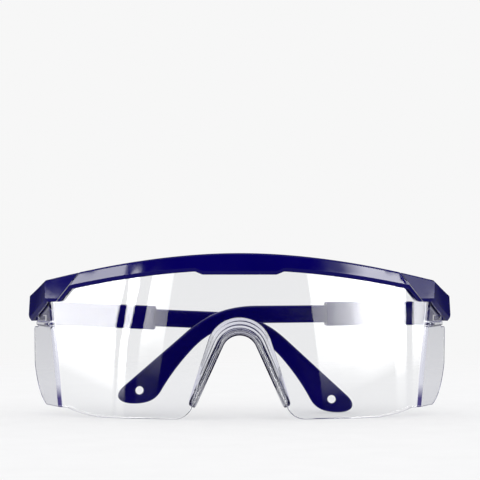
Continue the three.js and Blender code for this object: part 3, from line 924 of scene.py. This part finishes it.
def build_screw(side_name):
    side = SIDES[side_name]
    under = -LENS_THICKNESS - 2 * GAP - BROW_WALL
    profile = [(0.2, under - 0.9), (0.9, under - 0.9), (1.3, under - 0.86), (1.6, under - 0.68),
               (1.7, under - 0.45), (1.7, under - 0.05), (1.65, under), (0.95, under), (0.9, under + 0.05)]
    profile += thread(0.9, 0.14, np.arange(under + 0.2, 0.4, 0.3))
    profile += [(0.9, 0.5), (0.85, 0.65), (0.5, 0.9), (0.2, 0.9)]
    screw = turned_on_wing(side_name + "_screw", profile)
    points = [on_wing(p, a, u) for p in (under - 2, under - 0.5) for a, u in
              ((-0.3, -3), (0.3, -3), (0.3, 3), (-0.3, 3))]
    cut(screw, loft("slot", [np.array(points[:4]), np.array(points[4:])]))
    shade(screw)
    return mirrored_if(screw, side["sign"])


# ---- materials

def node(tree, kind, *first, **named):
    """A new shader node, with values for its first sockets in order and for named sockets and settings.

    A value is a number, a colour, another node's output, or a node, which stands for its first output.
    """
    made = tree.nodes.new("ShaderNode" + kind)
    for key in [key for key in named if hasattr(made, key)]:
        setattr(made, key, named.pop(key))
    sockets = list(zip(made.inputs, first))
    sockets += [(made.inputs[key.replace("_", " ")], value) for key, value in named.items()]
    for socket, value in sockets:
        if isinstance(value, bpy.types.Node):
            value = value.outputs[0]
        if isinstance(value, bpy.types.NodeSocket):
            tree.links.new(value, socket)
        else:
            socket.default_value = (*value, 1) if socket.type == "RGBA" else value
    return made


def new_material(name):
    material = bpy.data.materials.new(name)
    material.use_nodes = True
    material.node_tree.nodes.clear()
    return material, material.node_tree


def coordinates(tree, kind="Object"):
    return node(tree, "TexCoord").outputs[kind]


def split(tree, vector):
    return node(tree, "SeparateXYZ", vector).outputs


def noise(tree, where, scale, detail, rough, stretch=(1, 1, 1)):
    mapping = node(tree, "Mapping", Vector=where, Scale=stretch)
    texture = node(tree, "TexNoise", Vector=mapping, Scale=scale, Detail=detail, Roughness=rough)
    return texture.outputs["Fac"]


def remap(tree, source, low, high, to_low=0.0, to_high=1.0):
    return node(tree, "MapRange", source, low, high, to_low, to_high).outputs["Result"]


def ramp(tree, source, stops):
    made = node(tree, "ValToRGB", source)
    elements = made.color_ramp.elements
    for index, (position, colour) in enumerate(stops):
        element = elements[index] if index < 2 else elements.new(position)
        element.position = position
        element.color = (*colour, 1)
    return made.outputs["Color"]


def bump(tree, height, strength, distance):
    return node(tree, "Bump", Height=height, Strength=strength, Distance=distance)


def math_node(tree, operation, a, b):
    return node(tree, "Math", a, b, operation=operation).outputs[0]


def navy_plastic():
    """Polished dark blue moulding, faintly clouded in colour and gloss."""
    material, tree = new_material("navy_plastic")
    where = coordinates(tree)
    flow = noise(tree, where, 38, 4, 0.5)
    haze = noise(tree, where, 160, 5, 0.6)
    peel = noise(tree, where, 420, 2, 0.4)
    colours = [(0.3, (0.0012, 0.0001, 0.096)), (0.7, (0.0024, 0.0004, 0.116))]
    shader = node(tree, "BsdfPrincipled", IOR=1.5, Specular_IOR_Level=0.5,
                  Base_Color=ramp(tree, flow, colours),
                  Roughness=remap(tree, haze, 0.35, 0.7, 0.045, 0.1),
                  Normal=bump(tree, peel, 0.03, 0.0002))
    node(tree, "OutputMaterial", Surface=shader)
    return material


EDGE_SHADE_FACING = (0.4, 0.8)  # the upright share of a normal where the edge's painted shade comes in
EXIT_HEIGHTS = (0.006, 0.011)  # metres up where the painted shade on trapped light turns from low to high


def see_through(name, colour, edge, ior, rough, peel_strength, shadow, density, absorb, guides, low, high):
    """Clear plastic with a little absorption along its length. edge is painted shade, a darker colour
    on faces that look up or down, which draws dark lines along the edges seen end-on.

    Lamps' light goes straight through it and is coloured by shadow. Light trapped in it leaves
    after as many inner reflections as guides says, coloured by low near the ground and high above.
    These two colours are painted shade on the trapped light.
    """
    material, tree = new_material(name)
    where = coordinates(tree)
    facing = split(tree, coordinates(tree, "Normal"))[2]
    # painted shade: faces that look up or down take the darker edge colour
    upright = remap(tree, math_node(tree, "ABSOLUTE", facing, 0.0), *EDGE_SHADE_FACING)
    haze = noise(tree, where, 210, 4, 0.6)
    peel = noise(tree, where, 130, 2, 0.4)
    shader = node(tree, "BsdfPrincipled", IOR=ior, Transmission_Weight=1.0,
                  Base_Color=ramp(tree, upright, [(0.0, colour), (1.0, edge)]),
                  Roughness=remap(tree, haze, 0.45, 0.75, *rough),
                  Normal=bump(tree, peel, peel_strength, 0.0002))
    # painted shade: light that leaves after inner reflections takes the low colour near the ground, high
    # above
    height = remap(tree, split(tree, where)[2], *EXIT_HEIGHTS)
    painted_shade_exit = node(tree, "BsdfTransparent", Color=ramp(tree, height, [(0.0, low), (1.0, high)]))
    path = node(tree, "LightPath").outputs
    leaves = remap(tree, path["Glossy Depth"], guides - 0.4, guides - 0.2)
    plastic = node(tree, "MixShader", leaves, shader, painted_shade_exit)
    lamp_light = node(tree, "BsdfTransparent", Color=shadow)
    surface = node(tree, "MixShader", path["Is Shadow Ray"], plastic, lamp_light)
    volume = node(tree, "VolumeAbsorption", Color=absorb, Density=density)
    node(tree, "OutputMaterial", Surface=surface, Volume=volume)
    return material


def steel():
    """Turned steel with fine marks round its axis."""
    material, tree = new_material("screw_steel")
    where = coordinates(tree)
    marks = noise(tree, where, 900, 4, 0.6, (1, 1, 6))
    shader = node(tree, "BsdfPrincipled", Metallic=1.0,
                  Base_Color=ramp(tree, marks, [(0.3, (0.42, 0.43, 0.45)), (0.7, (0.62, 0.63, 0.66))]),
                  Roughness=remap(tree, marks, 0.3, 0.7, 0.2, 0.42),
                  Normal=bump(tree, marks, 0.2, 0.0001))
    node(tree, "OutputMaterial", Surface=shader)
    return material


# ---- the pieces

def place_piece(obj, body, slot, material, *nodes):
    obj.data.materials.clear()
    obj.data.materials.append(material)
    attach(obj, body)
    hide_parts(*nodes)


NAVY = navy_plastic()
# The lens's edge colour paints dark shade on its top and bottom edges, and its low colour paints shade near
# the ground.
CLEAR = see_through("clear_lens", colour=(0.985, 0.99, 0.995), edge=(0.12, 0.11, 0.26), ior=1.585,
                    rough=(0.0, 0.006), peel_strength=0.002, shadow=(0.8, 0.8, 0.82), density=12.0,
                    absorb=(0.55, 0.6, 0.72), guides=2, low=(0.1, 0.08, 0.26), high=(0.985, 0.99, 0.995))
# The pad's edge colour is a light painted shade, and low and high paint dark navy shade on light trapped
# anywhere in it.
SOFT = see_through("soft_clear", colour=(0.97, 0.975, 0.985), edge=(0.86, 0.86, 0.92), ior=1.49,
                   rough=(0.0, 0.015), peel_strength=0.01, shadow=(0.7, 0.71, 0.74), density=16.0,
                   absorb=(0.5, 0.52, 0.75), guides=1, low=(0.01, 0.005, 0.1), high=(0.011, 0.005, 0.12))
STEEL = steel()

place_piece(build_lens(), "front", "lens_clear", CLEAR, "lens")
place_piece(flatten(build_bar()), "front", "frame_blue", NAVY, "brow_frame")
place_piece(build_pad(), "front", "nose_clear", SOFT, "nose_pad")
for side_name in SIDES:
    place_piece(flatten(build_block(side_name)), "front", "frame_blue", NAVY, side_name + "_end_block")
    place_piece(build_pin(side_name), "front", "screw_steel", STEEL, side_name + "_hinge_pin")
    place_piece(build_screw(side_name), "front", "screw_steel", STEEL, side_name + "_block_screw")
    place_piece(flatten(build_sleeve(side_name)), side_name + "_sleeve", "frame_blue", NAVY,
                side_name + "_temple_sleeve")
    place_piece(build_arm(side_name), side_name + "_arm", "frame_blue", NAVY, side_name + "_temple_arm")

# ---- camera

CAMERA_LENS = 149.2
CAMERA_DISTANCE = 0.69957  # in front of the lens
CAMERA_X, CAMERA_Z = 0.00014, 0.05343
CAMERA_PITCH = radians(90.80)

camera = new_object("camera", bpy.data.cameras.new("camera"))
camera.data.sensor_width = 36.0
camera.data.lens = CAMERA_LENS
camera.data.clip_end = 20
camera.location = (CAMERA_X, FRONT_Y * MM - CAMERA_DISTANCE, CAMERA_Z)
camera.rotation_euler = (CAMERA_PITCH, 0, 0)
bpy.context.scene.camera = camera
bpy.context.scene.view_settings.view_transform = "Standard"


# ---- surroundings

def emitter(name, across, up, strength):
    """A softbox's cloth, seen only in a first reflection, with its brightness across and up its cloth.

    What stands behind the lens shows it more faintly.
    """
    material, tree = new_material(name)
    material.cycles.emission_sampling = "NONE"
    spot = split(tree, coordinates(tree, "UV"))
    wide = ramp(tree, spot[0], [(p, (v, v, v)) for p, v in across])
    high = ramp(tree, spot[1], [(p, (v, v, v)) for p, v in up])
    path = node(tree, "LightPath").outputs
    behind = remap(tree, path["Transmission Depth"], 2.2, 2.8, strength, 0.15 * strength)
    glow = node(tree, "Emission", Color=wide, Strength=math_node(tree, "MULTIPLY", high, behind))
    reflected = math_node(tree, "MINIMUM", path["Glossy Depth"], 1.0)
    once = remap(tree, path["Glossy Depth"], 1.4, 1.6, 1.0, 0.0)
    shown = math_node(tree, "MULTIPLY", reflected, once)
    clear = node(tree, "BsdfTransparent")
    surface = node(tree, "MixShader", shown, clear, glow)
    node(tree, "OutputMaterial", Surface=surface)
    return material


SOFTBOX_RADIUS = 0.55
SOFTBOX_COLUMNS = 16


def softbox(name, near, far, levels, across, up, strength):
    """A curved softbox round the glasses.

    near and far give each side's azimuth in degrees by height, across and up its brightness.
    """
    def height(level):
        return (level - levels[0]) / (levels[-1] - levels[0])

    verts, faces, uvs = [], [], []
    count = SOFTBOX_COLUMNS
    for level in levels:
        for k in range(count + 1):
            azimuth = radians(mix(near(level), far(level), k / count))
            verts.append((SOFTBOX_RADIUS * sin(azimuth), -SOFTBOX_RADIUS * cos(azimuth), level * MM))
            uvs.append((k / count, height(level)))
    for i in range(len(levels) - 1):
        for k in range(count):
            a = i * (count + 1) + k
            faces.append((a, a + 1, a + count + 2, a + count + 1))
    mesh = bpy.data.meshes.new(name)
    mesh.from_pydata(verts, [], faces)
    layer = mesh.uv_layers.new(name="UVMap")
    for loop in mesh.loops:
        layer.data[loop.index].uv = uvs[loop.vertex_index]
    obj = new_object(name, mesh)
    rise = [(height(level), value) for level, value in up]
    mesh.materials.append(emitter(name, across, rise, strength))
    for rays in ("camera", "diffuse", "shadow", "volume_scatter"):
        setattr(obj, "visible_" + rays, False)


def leaning(heights, azimuths):
    """A softbox's side edge: its azimuth at each height."""
    return lambda level: float(np.interp(level, heights, azimuths))


LOW, LENS_HIGH, HIGH = -130, 50, 120
LEVELS = list(range(LOW, HIGH + 1, 10))
LENS_LEVELS = list(range(LOW, LENS_HIGH + 1, 10))
BAR_LEVELS = list(range(LENS_HIGH, HIGH + 1, 10))
EVEN = [(0.0, 1), (1.0, 1)]
RISING = [(LOW, 0.02), (-60, 0.04), (-45, 0.08), (-30, 0.4), (-14, 1), (HIGH, 1)]
left_middle = leaning([LOW, HIGH], [-67, -43])
right_middle = leaning([LOW, HIGH], [67, 43])
softbox("left_inner", leaning([LOW, LENS_HIGH], [-41.7, -21.5]),
        leaning([LOW, -49, -6, 11, 34, LENS_HIGH], [-47.4, -39.9, -35.9, -33.2, -30.3, -27.8]), LENS_LEVELS,
        [(0.0, 0.2), (0.5, 0.25), (0.8, 0.38), (1.0, 0.42)],
        [(LOW, 0.01), (-40, 0.02), (-25, 0.05), (-8, 0.35), (4, 1), (40, 1), (LENS_HIGH, 0.6)], 9.5)
softbox("left_strip",
        leaning([LOW, -52, -9, 8, 31, 58, HIGH], [-51, -44.1, -40.7, -37.9, -34.3, -32.8, -31]),
        leaning([LOW, -54, -11, 7, 29, 58, HIGH], [-54.5, -47.3, -42.9, -40.2, -37.9, -35.0, -32]),
        LEVELS, EVEN, RISING[:-1] + [(58, 1), (68, 0)], 9.3)
softbox("left_outer",
        leaning([LOW, -55, -12, 4, 28, 58, HIGH], [-55, -48.4, -45.1, -43.5, -39.2, -37.8, -37]),
        left_middle, LEVELS, EVEN, RISING, 9.3)
softbox("left_far", left_middle, leaning([LOW, HIGH], [-87.9, -80.4]), LEVELS,
        [(0.0, 1), (0.7, 1), (1.0, 0.5)], RISING[:-1] + [(49, 1), (54, 0.02), (HIGH, 0.01)], 9.3)
softbox("right_inner", leaning([LOW, LENS_HIGH], [40.5, 22.2]), right_middle, LENS_LEVELS,
        [(0.0, 0.18), (0.2, 0.24), (0.45, 0.45), (0.7, 1.0)],
        [(LOW, 0.005), (-40, 0.015), (-25, 0.25), (-8, 0.85), (0, 1), (LENS_HIGH, 1)], 13.0)
softbox("right_upper", leaning([LENS_HIGH, HIGH], [27, 24]), right_middle, BAR_LEVELS,
        [(0.0, 0.0), (0.34, 0.09), (0.55, 0.6), (0.7, 1)], [(LENS_HIGH, 1), (HIGH, 1)], 13.5)
softbox("right_far", right_middle, leaning([LOW, HIGH], [69.7, 48.4]), LEVELS, EVEN,
        RISING[:-1] + [(49, 1), (54, 0.2), (HIGH, 0.2)], 13.0)
softbox("right_outer", leaning([LOW, HIGH], [71.6, 52.1]), leaning([LOW, HIGH], [87.9, 80.4]), LEVELS,
        [(0.0, 0.8), (1.0, 0.5)], RISING[:-1] + [(49, 1), (54, 0.3), (HIGH, 0.3)], 9.5)

PALE, AMBIENT = 0.93, 0.97                  # the world as the camera sees it and as it lights matt surfaces
INNER_BLUE = (0.1, 0.06, 1.0)  # its colour for reflections inside the clear pieces


def studio_world():
    """A pale room that reflections see as dark, apart from a dim backdrop and ground.

    Light that has been inside a clear piece sees a level of its own, by how often it passed a
    surface, how often it was reflected and which way it leaves.
    """
    world = bpy.data.worlds.new("studio")
    world.use_nodes = True
    world.cycles.sampling_method = "NONE"
    tree = world.node_tree
    tree.nodes.clear()

    def larger(a, b):
        return math_node(tree, "MAXIMUM", a, b)

    def times(a, b):
        return math_node(tree, "MULTIPLY", a, b)

    def level_mix(factor, a, b):
        return node(tree, "Mix", data_type="FLOAT", Factor=factor, A=a, B=b).outputs[0]

    _, back, up = split(tree, coordinates(tree, "Generated"))
    path = node(tree, "LightPath").outputs
    passes, bounces = path["Transmission Depth"], path["Glossy Depth"]
    backdrop = times(remap(tree, back, 0.1, 0.5, 0.005, 0.18), remap(tree, up, -0.05, -0.01, 1.0, 0.12))
    below = remap(tree, up, -0.16, -0.4, 0.0, 0.15)
    refracted = remap(tree, passes, 0.4, 0.6)
    room = larger(larger(backdrop, below), times(refracted, 0.12))
    inner = times(remap(tree, passes, 1.4, 1.6), remap(tree, passes, 2.4, 2.6, 1.0, 0.0))
    sideways = remap(tree, back, -0.35, 0.0, 0.0, 0.8)
    guided = times(refracted, remap(tree, bounces, 1.4, 1.6, 0.0, 0.9))
    lit = larger(times(inner, sideways), guided)
    glossy = times(math_node(tree, "MINIMUM", bounces, 1.0), math_node(tree, "SUBTRACT", 1.0, lit))
    diffuse = math_node(tree, "MINIMUM", path["Diffuse Depth"], 1.0)
    brightness = level_mix(diffuse, level_mix(glossy, PALE, room), AMBIENT)
    tint = times(times(refracted, glossy), math_node(tree, "SUBTRACT", 1.0, diffuse))
    background = node(tree, "Background", Strength=brightness,
                      Color=ramp(tree, tint, [(0.0, (1, 1, 1)), (1.0, INNER_BLUE)]))
    node(tree, "OutputWorld", Surface=background)
    return world


bpy.context.scene.world = studio_world()

lamp = bpy.data.lights.new("overhead", "AREA")
lamp.shape = "RECTANGLE"
lamp.size, lamp.size_y = 2.4, 2.2
lamp.energy = 4.6
overhead = new_object("overhead", lamp)
overhead.location = (0, -0.1, 1.3)
overhead.visible_camera = False
overhead.visible_transmission = False

FLOOR_RADIUS = 0.55
FLOOR_FADE = (0.22, 0.5)  # metres from the middle over which the floor fades away
FLOOR_GLOW = (0.48, 0.48, 0.485)  # its own light, which keeps the shadows pale


def floor_material():
    material, tree = new_material("pale_floor")
    material.cycles.emission_sampling = "NONE"
    where = coordinates(tree)
    grain = noise(tree, where, 60, 4, 0.6)
    colour = ramp(tree, grain, [(0.3, (0.41, 0.41, 0.412)), (0.7, (0.43, 0.43, 0.432))])
    paint = node(tree, "BsdfDiffuse", Color=colour)
    glow = node(tree, "Emission", Color=FLOOR_GLOW)
    far = node(tree, "VectorMath", where, operation="LENGTH").outputs["Value"]
    bounces = node(tree, "LightPath").outputs["Glossy Depth"]
    hidden = math_node(tree, "ADD", remap(tree, far, *FLOOR_FADE), bounces)
    surface = node(tree, "MixShader", math_node(tree, "MINIMUM", hidden, 1.0),
                   node(tree, "AddShader", paint, glow), node(tree, "BsdfTransparent"))
    node(tree, "OutputMaterial", Surface=surface)
    return material


floor = new_object("floor", bpy.data.meshes.new("floor"))
b = bmesh.new()
bmesh.ops.create_circle(b, cap_ends=True, radius=FLOOR_RADIUS, segments=96)
b.to_mesh(floor.data)
b.free()
floor.data.materials.append(floor_material())
floor.visible_glossy = False
